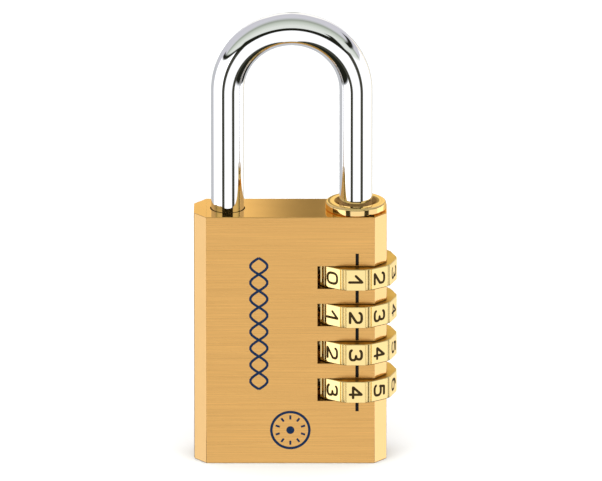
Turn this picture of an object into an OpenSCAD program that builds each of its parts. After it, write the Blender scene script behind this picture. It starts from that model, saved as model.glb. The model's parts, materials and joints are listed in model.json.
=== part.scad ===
// Four-dial combination padlock: brass body, steel shackle on a finned stem, resettable code sleeves.
// Frame: +Z up, +Y to the back, origin at the centre of the body's bottom face.

/* [Body] */
// Width of the brass body
body_w = 38; // [36:0.5:44]
// Depth of the brass body, front to back
body_d = 12.2; // [12:0.1:13]
// Height of the brass body
body_h = 51; // [50:0.5:56]
// Width of each corner chamfer, seen from the front
chamfer_w = 2.4; // [1:0.1:4]
// Depth of each corner chamfer, seen from the side
chamfer_d = 3; // [1:0.1:4]

/* [Shackle] */
// Diameter of the shackle rod
rod_d = 6.5; // [6:0.1:6.8]
// Distance between the two legs, centre to centre
leg_spacing = 25.25; // [22:0.05:27]
// Height of the rod's centre line at the top of the bow, above the body
bow_rise = 36.9; // [25:0.1:60]
// How far the shackle lifts when it opens
lift = 7; // [6.5:0.1:7.2]
// How far the short leg reaches into the body
toe_depth = 5.5; // [3:0.1:6]

/* [Dials] */
// Number of digits round each dial
digit_count = 10; // [10]
// Radius of the dials over the ribs between digits
dial_r = 8.1; // [7.8:0.05:8.1]
// Width of the flat behind each digit
dial_flat_w = 3.72; // [3:0.02:4.2]
// Height of one dial
dial_h = 4.4; // [4:0.05:4.5]
// Distance between the middles of two dials
dial_pitch = 7.75; // [7.6:0.05:8]
// Height of the middle of the top dial
top_dial_z = 38.55; // [38:0.05:39]
// Distance from the dial axis to the right side of the body
dial_inset = 6.1; // [6:0.05:6.3]
// Height of a dial slot in the body
slot_h = 4.7; // [4.6:0.05:4.9]
// Radius that the slots are milled to, about the dial axis
slot_r = 9.72; // [9.4:0.01:10]

/* [Collar] */
// Diameter of the collar's flange round the long leg
collar_d = 11.9; // [11:0.1:12.1]
// Height of the collar's flange above the body
collar_h = 1.55; // [1:0.05:2]

/* [Mechanism] */
// Radius of the long bore that holds the mechanism
bore_r = 5.1; // [5.1:0.01:5.2]
// Radius of the stem below the long leg
stem_r = 2.2; // [2:0.05:2.3]
// Reach of a locking fin from the stem's axis
fin_r = 3.15; // [2.9:0.05:3.2]
// Width of a locking fin
fin_w = 1.6; // [1.2:0.1:2]
// Height of a locking fin
fin_h = 1.6; // [1.2:0.1:1.8]
// Thickness of the gate plate inside a code sleeve
gate_t = 1.2; // [1:0.1:1.4]
// Outside radius of a code sleeve's barrel
sleeve_r = 4.4; // [4.2:0.05:4.5]
// Radius of a detent ball
ball_r = 1.5; // [1.2:0.1:1.6]

/* [Index marks] */
// Width of the painted index line
mark_w = 0.65; // [0.4:0.05:1]
// Height of the index line's upper end
mark_top_z = 43.5; // [42:0.1:46]
// Height of the index line's lower end
mark_bottom_z = 10.8; // [6:0.1:12]

/* [Front print] */
// Height of the middle of the tick ring
tick_ring_z = 6.9; // [6:0.1:8]
// Outside radius of the tick ring
tick_ring_r = 4; // [2:0.1:4.5]
// Width of the printed lines
print_w = 0.5; // [0.3:0.05:0.8]
// Distance from the body's middle to the printed braid
braid_x = -6.2; // [-8:0.1:-4]
// Height of the braid's lower end
braid_bottom_z = 15.4; // [13:0.1:20]
// Length of one wave of the braid
braid_wave = 6.8; // [5:0.1:8]
// Sideways swing of the braid's strands
braid_swing = 1.7; // [1:0.1:2.5]

/* [Hidden] */
$fn = 64;

brass = [0.86, 0.66, 0.36];
polished_brass = [0.96, 0.82, 0.5];
steel = [0.8, 0.8, 0.82];
spring_steel = [0.55, 0.56, 0.6];
black_paint = [0.08, 0.07, 0.07];
blue_ink = [0.08, 0.2, 0.45];

// Small distances that recur
over = 1;            // overrun of a cutting tool past a face
run_gap = 0.05;      // radial gap of a running fit
loose_gap = 0.1;     // gap between parts that pass each other
edge = 0.3;          // chamfer on turned edges

// Dial axis and dial heights
dial_count = 4;
axis_x = body_w / 2 - dial_inset;
toe_x = axis_x - leg_spacing;
dial_apothem = sqrt(dial_r ^ 2 - (dial_flat_w / 2) ^ 2);
function dial_z(i) = top_dial_z - (i - 1) * dial_pitch;

// Shackle
rod_r = rod_d / 2;
bow_r = leg_spacing / 2;
bow_z = body_h + bow_rise - bow_r;
toe_hole_r = rod_r + 0.3;
toe_hole_depth = toe_depth + 3;
rod_chamfer = 0.8;

// Collar
collar_spigot = 5;
collar_bore_r = rod_r + run_gap;
mouth_r = 4.15;
mouth_depth = 1;
collar_edge = 0.35;

// Code sleeves: one fills the pitch of one dial, less a gap
sleeve_h = dial_pitch - 0.15;
sleeve_bore_r = fin_r + 0.15;
gate_hole_r = stem_r + loose_gap;
gate_slot_w = fin_w + 2 * loose_gap;
gate_top = sleeve_h / 2;
fin_top = gate_top - gate_t - 0.3;
spline_r = 4.95;
spline_w = 1;
spline_h = 3;

// Stack above the sleeves
sleeve_stack_top = dial_z(1) + sleeve_h / 2;
washer_t = 0.8;
washer_z = sleeve_stack_top + loose_gap;
washer_r = bore_r - loose_gap;
spacer_z = washer_z + washer_t + run_gap;
spacer_top = body_h - collar_spigot - run_gap;
pass_r = rod_r + 0.15;
rod_end_z = sleeve_stack_top + 0.25;

// Stack below the sleeves
sleeve_stack_bottom = dial_z(dial_count) - sleeve_h / 2;
stop_top = sleeve_stack_bottom - loose_gap;
stop_z = stop_top - washer_t;
clip_t = 0.6;
clip_top = stop_z - lift - loose_gap;
clip_r = 3;
clip_groove_r = 1.65;
stem_end_z = clip_top - clip_t - 0.3;
plug_recess = 0.3;
plug_rim_z = 5;
plug_floor_z = 2;
plug_cup_r = 3.3;
pin_r = 0.6;
pin_z = 1.15;
pin_reach = 2.5;

// Springs
clutch_wire_r = 0.3;
clutch_coil_r = 3.95;
clutch_turns = 5;
detent_wire_r = 0.2;
detent_coil_r = 1.05;
detent_turns = 5;

// Detents: each ball waits just outside the dial's corners, in a hole to the left of its slot
ball_reach = dial_r + 0.06 + ball_r;
ball_x = axis_x - ball_reach;
detent_hole_r = ball_r + loose_gap;
detent_depth = 6;
detent_floor_x = ball_x - detent_depth;

// Index marks lie flush in grooves, a little to the right of the dial axis
mark_x = axis_x + 0.25;
mark_depth = 0.15;

// Front print: a braid of two strands above a ring with one tick for each digit
ink_t = 0.03;
braid_waves = 4;
braid_steps = 14;
tick_reach = [2.2, 3.05];
tick_w = 0.4;
hub_r = 0.8;

// Helix of round wire: rises along +Z from its start, with flat-sided wire of the given radius
function helix_ring(a, coil_r, wire_r, z, sides) = [
    for (k = [0 : sides - 1])
        let (t = 360 * k / sides, reach = coil_r + wire_r * cos(t))
        [reach * cos(a), reach * sin(a), z + wire_r * sin(t)]
];

module helix(coil_r, wire_r, height, turns, steps, sides) {
    rings = turns * steps;
    climb = height - 2 * wire_r;
    points = [
        for (i = [0 : rings])
            each helix_ring(360 * i / steps, coil_r, wire_r, wire_r + climb * i / rings, sides)
    ];
    sides_faces = [
        for (i = [0 : rings - 1])
            for (k = [0 : sides - 1])
                let (n = (k + 1) % sides)
                [i * sides + k, (i + 1) * sides + k, (i + 1) * sides + n, i * sides + n]
    ];
    first_face = [for (k = [0 : sides - 1]) k];
    last_face = [for (k = [sides - 1 : -1 : 0]) rings * sides + k];
    polyhedron(points, concat(sides_faces, [first_face, last_face]), convexity = 10);
}

// Cylinder with both edges chamfered
module turned(r, h, c) {
    rotate_extrude()
        polygon([[0, 0], [r - c, 0], [r, c], [r, h - c], [r - c, h], [0, h]]);
}

// Flat ring, its lower face at z = 0
module ring(r_in, r_out, h) {
    difference() {
        cylinder(r = r_out, h = h);
        translate([0, 0, -over])
            cylinder(r = r_in, h = h + 2 * over);
    }
}

module body_outline() {
    x = body_w / 2;
    y = body_d / 2;
    polygon([
        [-x, -y + chamfer_d], [-x + chamfer_w, -y], [x - chamfer_w, -y], [x, -y + chamfer_d],
        [x, y - chamfer_d], [x - chamfer_w, y], [-x + chamfer_w, y], [-x, y - chamfer_d]
    ]);
}

module index_bars() {
    translate([mark_x - mark_w / 2, -body_d / 2, mark_bottom_z])
        cube([mark_w, mark_depth, mark_top_z - mark_bottom_z]);
}

module dial_slots(h) {
    for (i = [1 : dial_count])
        translate([axis_x, 0, dial_z(i) - h / 2])
            cylinder(r = slot_r, h = h);
}

module body() {
    color(brass)
    difference() {
        linear_extrude(body_h)
            body_outline();
        dial_slots(slot_h);
        translate([axis_x, 0, -over])
            cylinder(r = bore_r, h = body_h + 2 * over);
        translate([toe_x, 0, body_h - toe_hole_depth])
            cylinder(r = toe_hole_r, h = toe_hole_depth + over);
        for (i = [1 : dial_count])
            translate([detent_floor_x, 0, dial_z(i)])
                rotate([0, 90, 0])
                    cylinder(r = detent_hole_r, h = detent_depth + ball_r);
        translate([axis_x, 0, pin_z])
            rotate([0, 90, 0])
                cylinder(r = pin_r + 0.02, h = body_w);
        index_bars();
    }
}

module index_marks() {
    color(black_paint)
    difference() {
        index_bars();
        dial_slots(slot_h);
    }
}

// One strand of the braid, a sine wave of even width, upright in the drawing plane
module braid_strand(side) {
    count = braid_waves * braid_steps;
    function strand_x(i) = side * braid_swing * sin(360 * i / braid_steps);
    function slope(i) = side * braid_swing * 2 * PI / braid_wave * cos(360 * i / braid_steps);
    function strand_edge(i, e) =
        let (n = sqrt(1 + slope(i) * slope(i)))
        [strand_x(i) + e * print_w / 2 / n, braid_wave * i / braid_steps - e * print_w / 2 * slope(i) / n];
    polygon(concat(
        [for (i = [0 : count]) strand_edge(i, -1)],
        [for (i = [count : -1 : 0]) strand_edge(i, 1)]
    ));
}

module tick_ring() {
    difference() {
        circle(r = tick_ring_r);
        circle(r = tick_ring_r - print_w);
    }
    circle(r = hub_r);
    for (k = [0 : digit_count - 1])
        rotate(360 * k / digit_count)
            translate([-tick_w / 2, tick_reach[0]])
                square([tick_w, tick_reach[1] - tick_reach[0]]);
}

module front_print() {
    color(blue_ink)
    translate([0, -body_d / 2, 0])
        rotate([90, 0, 0])
            linear_extrude(ink_t)
                union() {
                    translate([braid_x, braid_bottom_z])
                        union() {
                            braid_strand(-1);
                            braid_strand(1);
                        }
                    translate([0, tick_ring_z])
                        tick_ring();
                }
}

module bottom_plug() {
    color(brass)
    translate([axis_x, 0, 0])
        difference() {
            translate([0, 0, plug_recess])
                turned(bore_r - 0.02, plug_rim_z - plug_recess, edge);
            translate([0, 0, plug_floor_z])
                cylinder(r = plug_cup_r, h = plug_rim_z);
            translate([bore_r - pin_reach, 0, pin_z])
                rotate([0, 90, 0])
                    cylinder(r = pin_r + 0.02, h = bore_r);
        }
}

module plug_pin() {
    length = dial_inset - bore_r + pin_reach - 0.2;
    color(steel)
    translate([body_w / 2 - length, 0, pin_z])
        rotate([0, 90, 0])
            cylinder(r = pin_r, h = length);
}

module shackle_collar() {
    color(polished_brass)
    translate([axis_x, 0, 0])
        difference() {
            union() {
                translate([0, 0, body_h - collar_spigot])
                    cylinder(r = bore_r - 0.02, h = collar_spigot + collar_h / 2);
                rotate_extrude()
                    polygon([
                        [0, body_h], [collar_d / 2, body_h],
                        [collar_d / 2, body_h + collar_h - collar_edge],
                        [collar_d / 2 - collar_edge, body_h + collar_h], [0, body_h + collar_h]
                    ]);
            }
            translate([0, 0, body_h - collar_spigot - over])
                cylinder(r = collar_bore_r, h = collar_spigot + collar_h + 2 * over);
            translate([0, 0, body_h + collar_h - mouth_depth])
                cylinder(r1 = collar_bore_r, r2 = 2 * mouth_r - collar_bore_r, h = 2 * mouth_depth);
        }
}

// Stem with one locking fin for each dial, below the long leg
module stem() {
    difference() {
        union() {
            translate([0, 0, stem_end_z])
                cylinder(r = stem_r, h = rod_end_z - stem_end_z + over);
            for (i = [1 : dial_count])
                translate([-fin_r, -fin_w / 2, dial_z(i) + fin_top - fin_h])
                    cube([fin_r, fin_w, fin_h]);
        }
        translate([0, 0, clip_top - clip_t - run_gap])
            ring(clip_groove_r, stem_r + over, clip_t + 2 * run_gap);
    }
}

module shackle() {
    color(steel)
    union() {
        translate([axis_x, 0, rod_end_z])
            cylinder(r = rod_r, h = bow_z - rod_end_z);
        translate([axis_x, 0, 0])
            stem();
        translate([toe_x, 0, body_h - toe_depth])
            union() {
                cylinder(r1 = rod_r - rod_chamfer, r2 = rod_r, h = rod_chamfer);
                translate([0, 0, rod_chamfer])
                    cylinder(r = rod_r, h = bow_z - body_h + toe_depth - rod_chamfer);
            }
        translate([(axis_x + toe_x) / 2, 0, bow_z])
            rotate([90, 0, 0])
                rotate_extrude(angle = 180)
                    translate([bow_r, 0])
                        circle(r = rod_r);
    }
}

module stem_clip() {
    color(spring_steel)
    translate([axis_x, 0, clip_top - clip_t])
        difference() {
            ring(clip_groove_r + 0.03, clip_r, clip_t);
            translate([-clip_groove_r * 0.8, -clip_r - over, -over])
                cube([clip_groove_r * 1.6, clip_r + over, clip_t + 2 * over]);
        }
}

// Dial: round ring with a flat for each digit, fluted ribs between them, splined bore
module dial(i) {
    flute_r = 0.3;
    color(polished_brass)
    translate([axis_x, 0, dial_z(i) - dial_h / 2])
        difference() {
            intersection() {
                cylinder(r = dial_apothem / cos(180 / digit_count), h = dial_h, $fn = digit_count);
                turned(dial_r, dial_h, edge);
            }
            translate([0, 0, -over])
                cylinder(r = sleeve_r + loose_gap, h = dial_h + 2 * over);
            for (k = [0 : digit_count - 1])
                rotate([0, 0, 360 * k / digit_count])
                    union() {
                        translate([dial_r + 0.08, 0, -over])
                            cylinder(r = flute_r, h = dial_h + 2 * over, $fn = 24);
                        translate([0, -spline_w / 2 - run_gap, -over])
                            cube([spline_r + run_gap, spline_w + 2 * run_gap, dial_h + 2 * over]);
                    }
        }
}

// Code sleeve: barrel with a gate plate inside and splines that engage its dial
module code_sleeve(i) {
    color(brass)
    translate([axis_x, 0, dial_z(i)])
        difference() {
            union() {
                translate([0, 0, -sleeve_h / 2])
                    cylinder(r = sleeve_r, h = sleeve_h);
                for (k = [0 : digit_count - 1])
                    rotate([0, 0, 360 * k / digit_count])
                        translate([0, -spline_w / 2, -spline_h / 2])
                            cube([spline_r, spline_w, spline_h]);
            }
            translate([0, 0, -sleeve_h / 2 - over])
                cylinder(r = sleeve_bore_r, h = sleeve_h - gate_t + over);
            translate([0, 0, gate_top - gate_t - over])
                cylinder(r = gate_hole_r, h = gate_t + 2 * over);
            translate([-sleeve_bore_r, -gate_slot_w / 2, gate_top - gate_t - over])
                cube([sleeve_bore_r, gate_slot_w, gate_t + 2 * over]);
        }
}

module thrust_washer() {
    color(spring_steel)
    translate([axis_x, 0, washer_z])
        ring(pass_r, washer_r, washer_t);
}

module spacer_sleeve() {
    color(brass)
    translate([axis_x, 0, spacer_z])
        ring(pass_r, washer_r, spacer_top - spacer_z);
}

module lift_stop_washer() {
    color(spring_steel)
    translate([axis_x, 0, stop_z])
        ring(gate_hole_r, washer_r, washer_t);
}

module clutch_spring() {
    color(spring_steel)
    translate([axis_x, 0, plug_rim_z + run_gap])
        helix(clutch_coil_r, clutch_wire_r, stop_z - plug_rim_z - 2 * run_gap, clutch_turns, 20, 8);
}

module detent_balls() {
    color(steel)
    for (i = [1 : dial_count])
        translate([ball_x, 0, dial_z(i)])
            sphere(r = ball_r);
}

module detent_springs() {
    length = detent_depth - ball_r - 2 * run_gap;
    color(spring_steel)
    for (i = [1 : dial_count])
        translate([detent_floor_x + run_gap, 0, dial_z(i)])
            rotate([0, 90, 0])
                helix(detent_coil_r, detent_wire_r, length, detent_turns, 12, 6);
}

body();
bottom_plug();
plug_pin();
shackle_collar();
shackle();
stem_clip();
dial(1);  // dial_1
dial(2);  // dial_2
dial(3);  // dial_3
dial(4);  // dial_4
code_sleeve(1);  // code_sleeve_1
code_sleeve(2);  // code_sleeve_2
code_sleeve(3);  // code_sleeve_3
code_sleeve(4);  // code_sleeve_4
thrust_washer();
spacer_sleeve();
lift_stop_washer();
clutch_spring();
detent_balls();
detent_springs();
index_marks();
front_print();
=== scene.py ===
"""Looks of a four-dial padlock: brushed brass body, chromed shackle, engraved number dials, plain studio."""
import json
import math

import bmesh
import bpy
from bpy.props import FloatProperty, FloatVectorProperty, IntProperty, PointerProperty
from mathutils import Matrix, Vector


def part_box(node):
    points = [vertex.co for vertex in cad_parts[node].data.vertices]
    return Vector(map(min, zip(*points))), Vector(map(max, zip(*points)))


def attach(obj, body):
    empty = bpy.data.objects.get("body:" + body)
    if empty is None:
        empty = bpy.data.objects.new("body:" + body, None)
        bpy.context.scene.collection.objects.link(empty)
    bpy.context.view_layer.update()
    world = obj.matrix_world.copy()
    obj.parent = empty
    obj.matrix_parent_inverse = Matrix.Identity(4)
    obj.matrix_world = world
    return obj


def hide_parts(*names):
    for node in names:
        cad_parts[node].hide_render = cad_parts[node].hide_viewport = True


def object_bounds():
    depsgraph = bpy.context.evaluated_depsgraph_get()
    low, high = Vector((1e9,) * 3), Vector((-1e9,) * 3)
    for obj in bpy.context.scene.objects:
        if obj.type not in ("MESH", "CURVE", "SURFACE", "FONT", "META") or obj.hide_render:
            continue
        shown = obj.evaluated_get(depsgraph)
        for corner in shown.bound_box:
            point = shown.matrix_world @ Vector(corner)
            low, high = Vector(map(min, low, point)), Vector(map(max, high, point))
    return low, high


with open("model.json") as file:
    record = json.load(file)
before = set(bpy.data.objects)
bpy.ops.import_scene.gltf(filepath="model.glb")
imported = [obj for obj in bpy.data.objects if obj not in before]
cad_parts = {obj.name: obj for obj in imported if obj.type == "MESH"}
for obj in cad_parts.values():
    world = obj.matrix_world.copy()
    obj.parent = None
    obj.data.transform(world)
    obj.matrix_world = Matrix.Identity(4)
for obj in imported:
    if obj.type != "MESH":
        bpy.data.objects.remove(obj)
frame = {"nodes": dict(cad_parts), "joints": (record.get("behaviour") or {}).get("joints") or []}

bl_info = {
    "name": "Four-dial padlock",
    "version": (1, 0, 0),
    "blender": (4, 5, 0),
    "location": "3D View > Sidebar > Padlock",
    "description": "Builds the finished surfaces of a resettable four-dial padlock round its frame",
    "category": "Add Mesh",
}

# --------------------------------------------------------------------------------------------------
# Places taken from the frame
# --------------------------------------------------------------------------------------------------

CAD_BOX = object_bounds()
BODY_LOW, BODY_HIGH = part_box("body")
SHACKLE_LOW, SHACKLE_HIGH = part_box("shackle")
COLLAR_LOW, COLLAR_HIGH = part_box("shackle_collar")
MARK_LOW, MARK_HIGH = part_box("index_marks")
DIALS = ["dial_1", "dial_2", "dial_3", "dial_4"]
DIGITS = 10
MILLIMETRES = 1000
AXIS_X = next(joint["pos_m"][0] for joint in frame["joints"] if joint["child"] == "dial_1")
AXIS = Vector((AXIS_X, 0, 0))


def middle(node):
    """Middle of a node's box."""
    low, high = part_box(node)
    return (low + high) / 2


# --------------------------------------------------------------------------------------------------
# Settings: sizes in metres and colours that a user would change
# --------------------------------------------------------------------------------------------------


def length(name, default, description):
    return FloatProperty(
        name=name, default=default, description=description, min=0, unit="LENGTH", precision=5
    )


def colour(name, default, description):
    return FloatVectorProperty(
        name=name, default=default, description=description, subtype="COLOR", min=0, max=1
    )


def count(name, default, description):
    return IntProperty(name=name, default=default, description=description, min=3)


class BodySettings(bpy.types.PropertyGroup):
    chamfer_width: length("Chamfer width", 0.0024, "Width of a corner chamfer, seen from the front")
    chamfer_depth: length("Chamfer depth", 0.003, "Depth of a corner chamfer, seen from the side")
    side_rounding: length("Side rounding", 0.0008, "Rounding where a chamfer meets the side")
    face_rounding: length("Face rounding", 0.00012, "Rounding where a chamfer meets the front or back")
    edge_softness: length("Edge softness", 0.00016, "Width of the bevel on every other edge")
    slot_height: length("Slot height", 0.0047, "Height of a dial slot")
    slot_radius: length("Slot radius", 0.00972, "Radius of a dial slot about the dial axis")
    bore_radius: length("Bore radius", 0.0051, "Radius of the bore that holds the mechanism")
    toe_hole_radius: length("Toe hole radius", 0.00345, "Radius of the hole for the short leg")
    toe_hole_depth: length("Toe hole depth", 0.0085, "Depth of the hole for the short leg")
    brushed: colour("Brushed brass", (0.82, 0.465, 0.15), "Colour of the brushed faces")
    polished: colour("Polished brass", (0.74, 0.47, 0.2), "Colour of the chamfers and sides")
    # The top face has its own warmer tint, apart from the chamfers and sides of the same brass: painted light
    # on the top.
    top: colour("Top brass", (0.86, 0.5, 0.15), "Colour of the top face")
    # Darker brass for the slots and holes: painted shade in the hollows, on a rougher turned finish; the
    # turned fittings reuse it.
    shaded_machined: colour("Machined brass", (0.6, 0.38, 0.14), "Colour inside slots and holes")


class DialSettings(bpy.types.PropertyGroup):
    bore_radius: length("Bore radius", 0.005, "Radius of the dial's bore")
    groove_width: length("Groove width", 0.0002, "Width of the groove beside each facet")
    groove_depth: length("Groove depth", 0.00013, "Depth of the groove beside each facet")
    edge_rounding: length("Edge rounding", 0.0002, "Rounding of the dial's upper and lower edges")
    digit_height: length("Digit height", 0.0023, "Height of a digit, between the middles of its strokes")
    digit_width: length("Digit width", 0.00225, "Width of a digit, between the middles of its strokes")
    stroke_width: length("Stroke width", 0.00054, "Width of an engraved stroke")
    stroke_depth: length("Stroke depth", 0.00014, "Depth of an engraved stroke")
    brass: colour("Dial brass", (0.97, 0.745, 0.335), "Colour of the polished dials")
    # Darker brass for the dials' upper and lower faces: painted shade where they run into the slots.
    faces: colour("Dial faces", (0.74, 0.47, 0.12), "Colour of the dials' turned upper and lower faces")
    paint: colour("Digit paint", (0.042, 0.023, 0.004), "Paint that fills the engraving")


class ShackleSettings(bpy.types.PropertyGroup):
    rod_radius: length("Rod radius", 0.00325, "Radius of the bent rod")
    toe_depth: length("Toe depth", 0.0055, "How far the short leg reaches into the body")
    toe_rounding: length("Toe rounding", 0.0008, "Rounding of the short leg's tip")
    stem_radius: length("Stem radius", 0.0022, "Radius of the stem below the long leg")
    groove_radius: length("Groove radius", 0.00165, "Radius of the stem inside the clip")
    fin_reach: length("Fin reach", 0.00315, "Reach of a locking fin from the stem's axis")
    fin_size: length("Fin size", 0.0016, "Width and height of a locking fin")
    fin_drop: length("Fin drop", 0.0015, "How far a fin's top lies below the top of its code sleeve")
    sides: count("Sides", 96, "Facets round the rod")
    bow_steps: count("Bow steps", 96, "Steps along the bow")
    chrome: colour("Chrome", (0.93, 0.935, 0.95), "Colour of the plated steel")
    steel: colour("Steel", (0.5, 0.5, 0.52), "Colour of springs, washers and pins")


class CollarSettings(bpy.types.PropertyGroup):
    bore_radius: length("Bore radius", 0.0033, "Radius of the collar's bore")
    mouth_radius: length("Mouth radius", 0.00415, "Radius of the bore's countersunk mouth")
    mouth_depth: length("Mouth depth", 0.001, "Depth of the countersunk mouth")
    rounding: length("Rounding", 0.00045, "Rounding of the flange's upper edge")
    spigot_radius: length("Spigot radius", 0.00508, "Radius of the part pressed into the body")
    brass: colour("Collar brass", (0.9, 0.64, 0.28), "Colour of the polished collar")
    # Dark brass for the countersunk mouth and the bore: painted shade inside the collar.
    mouth: colour("Mouth brass", (0.4, 0.23, 0.08), "Colour of the turned mouth and bore")


class SpringSettings(bpy.types.PropertyGroup):
    clutch_coil: length("Clutch coil radius", 0.00395, "Radius of the clutch spring's coil")
    clutch_wire: length("Clutch wire radius", 0.0003, "Radius of the clutch spring's wire")
    clutch_turns: count("Clutch turns", 5, "Turns of the clutch spring")
    detent_coil: length("Detent coil radius", 0.00105, "Radius of a detent spring's coil")
    detent_wire: length("Detent wire radius", 0.0002, "Radius of a detent spring's wire")
    detent_turns: count("Detent turns", 5, "Turns of a detent spring")


class PrintSettings(bpy.types.PropertyGroup):
    ink: colour("Ink", (0.001, 0.019, 0.066), "Colour of the printed braid and tick ring")
    paint: colour("Index paint", (0.006, 0.005, 0.005), "Colour of the index line")


class StudioSettings(bpy.types.PropertyGroup):
    aim: FloatVectorProperty(
        name="Aim", default=(0.0021, 0, 0.04425), subtype="TRANSLATION",
        description="Point that the camera looks at"
    )
    elevation: FloatProperty(
        name="Elevation", default=math.radians(18), subtype="ANGLE", description="Camera's height angle"
    )
    distance: length("Distance", 3.0, "Distance from the camera to its aim")
    lens: FloatProperty(name="Lens", default=910.8, min=1, description="Focal length in millimetres")
    floor: colour("Floor", (0.86, 0.86, 0.86), "Colour of the pale floor")
    floor_radius: length("Floor radius", 3.0, "Radius of the floor")


# --------------------------------------------------------------------------------------------------
# Finishes
# --------------------------------------------------------------------------------------------------


class Wire:
    """One output of a node tree, with arithmetic: each operator adds the Math node that does it."""

    def __init__(self, tree, socket):
        self.tree, self.socket = tree, socket

    def math(self, operation, first, second=0.0):
        return self.tree.node("ShaderNodeMath", {"operation": operation}, {0: first, 1: second})

    def __add__(self, other):
        return self.math("ADD", self, other)

    def __sub__(self, other):
        return self.math("SUBTRACT", self, other)

    def __rsub__(self, other):
        return self.math("SUBTRACT", other, self)

    def __mul__(self, other):
        return self.math("MULTIPLY", self, other)

    __radd__ = __add__
    __rmul__ = __mul__


class Tree:
    """A shader tree under construction."""

    def __init__(self, tree):
        self.tree = tree
        tree.nodes.clear()

    def node(self, kind, settings=None, sockets=None, output=0):
        """Adds a node: its settings first, then its sockets' values or wires; gives one output as a Wire."""
        node = self.tree.nodes.new(kind)
        for key, value in (settings or {}).items():
            if key == "stops":
                ramp = node.color_ramp
                while len(ramp.elements) < len(value):
                    ramp.elements.new(1.0)
                for element, (place, shade) in zip(ramp.elements, value):
                    element.position, element.color = place, (*shade, 1)
            else:
                setattr(node, key, value)
        for key, value in (sockets or {}).items():
            if isinstance(value, Wire):
                self.tree.links.new(value.socket, node.inputs[key])
            else:
                node.inputs[key].default_value = value
        return Wire(self, node.outputs[output]) if node.outputs else node

    def noise(self, place, stretch, detail=3.0):
        """Noise on a place whose axes are stretched: stretch is waves per metre along X, Y and Z."""
        place = self.node("ShaderNodeMapping", {}, {"Vector": place, "Scale": stretch})
        return self.node("ShaderNodeTexNoise", {}, {
            "Vector": place, "Scale": 1.0, "Detail": detail, "Roughness": 0.55,
        })

    def between(self, value, low, high, soft):
        """1 between two limits and 0 outside them, with soft edges."""
        rise, fall = (
            self.node("ShaderNodeMapRange", {"interpolation_type": "SMOOTHSTEP"}, {
                "Value": value, "From Min": limit - soft, "From Max": limit + soft,
            })
            for limit in (low, high)
        )
        return rise - fall

    def contrast(self, value, gain):
        """Spreads values away from one half and keeps them between 0 and 1."""
        return self.node("ShaderNodeMath", {"operation": "MULTIPLY_ADD", "use_clamp": True}, {
            0: value, 1: gain, 2: 0.5 - gain / 2,
        })

    def blend(self, amount, first, second):
        """Colour between two colours."""
        sockets = {"Factor": amount, 6: first, 7: second}
        return self.node("ShaderNodeMix", {"data_type": "RGBA"}, sockets, output=2)


class Finish(Tree):
    """A material with one Principled shader, given constants and wires for its sockets."""

    def __init__(self, name):
        self.material = bpy.data.materials.new(name)
        self.material.use_nodes = True
        super().__init__(self.material.node_tree)
        self.place = self.node("ShaderNodeTexCoord", output="Object")

    def bump(self, height, distance):
        return self.node("ShaderNodeBump", {}, {"Height": height, "Distance": distance, "Strength": 1.0})

    def done(self, sockets):
        shader = self.node("ShaderNodeBsdfPrincipled", {}, sockets)
        self.node("ShaderNodeOutputMaterial", {}, {"Surface": shader})
        return self.material


def shade(tint, factor):
    """A colour made darker or lighter, with alpha."""
    return (*(min(1.0, channel * factor) for channel in tint), 1.0)


def brushed_brass(name, tint):
    """Faces brushed along X: long fine scratches over broader bands."""
    finish = Finish(name)
    fine = finish.contrast(finish.noise(finish.place, (60, 60, 7600), detail=3), 3.6)
    broad = finish.contrast(finish.noise(finish.place, (30, 30, 3100), detail=2), 2.4)
    drift = finish.noise(finish.place, (26, 26, 26), detail=1)
    hairs = finish.contrast(finish.noise(finish.place, (70, 70, 8200), detail=2) + 0.17, -7)
    tone = fine * 0.42 + broad * 0.18 + hairs * 0.2 + drift * 0.2
    return finish.done({
        "Base Color": finish.blend(tone, shade(tint, 0.74), shade(tint, 1.2)),
        "Metallic": 1.0,
        "Roughness": fine * 0.1 + 0.27,
        "Normal": finish.bump(fine, 0.000004),
    })


def polished_brass(name, tint, roughness=0.1, grain=(900, 900, 120), rim=(1.0, 1.0, 1.0)):
    """Buffed brass with faint polishing lines and smears; rim is its colour at a glancing angle."""
    finish = Finish(name)
    lines = finish.noise(finish.place, grain, detail=3)
    smear = finish.noise(finish.place, (180, 180, 180), detail=2)
    return finish.done({
        "Base Color": finish.blend(smear, shade(tint, 0.95), shade(tint, 1.04)),
        "Metallic": 1.0,
        "Specular Tint": (*rim, 1),
        "Roughness": smear * 0.06 + lines * 0.04 + (roughness - 0.05),
        "Normal": finish.bump(lines, 0.0000008),
    })


def machined_brass(name, tint):
    """Turned or milled brass, with even tool marks. The darker tints that it is given are painted shade in
    slots, holes, the collar's mouth and the dials' upper and lower faces.
    """
    finish = Finish(name)
    marks = finish.noise(finish.place, (400, 400, 7000), detail=2)
    stain = finish.noise(finish.place, (300, 300, 300), detail=3)
    return finish.done({
        "Base Color": finish.blend(stain, shade(tint, 0.8), shade(tint, 1.15)),
        "Metallic": 1.0,
        "Specular Tint": (1.0, 0.85, 0.55, 1),
        "Roughness": marks * 0.15 + 0.28,
        "Normal": finish.bump(marks, 0.000008),
    })


def chrome_plate(name, tint):
    """Mirror plating with hair-fine wear."""
    finish = Finish(name)
    haze = finish.noise(finish.place, (120, 120, 120), detail=3)
    hairs = finish.noise(finish.place, (2600, 2600, 90), detail=2)
    return finish.done({
        "Base Color": (*tint, 1),
        "Metallic": 1.0,
        "Roughness": haze * 0.03 + hairs * 0.02 + 0.015,
        "Normal": finish.bump(hairs, 0.0000003),
    })


def drawn_steel(name, tint):
    """Spring wire, stamped washers and pins."""
    finish = Finish(name)
    lines = finish.noise(finish.place, (3000, 3000, 600), detail=2)
    return finish.done({
        "Base Color": finish.blend(lines, shade(tint, 0.85), shade(tint, 1.15)),
        "Metallic": 1.0,
        "Roughness": lines * 0.15 + 0.22,
        "Normal": finish.bump(lines, 0.000003),
    })


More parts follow.
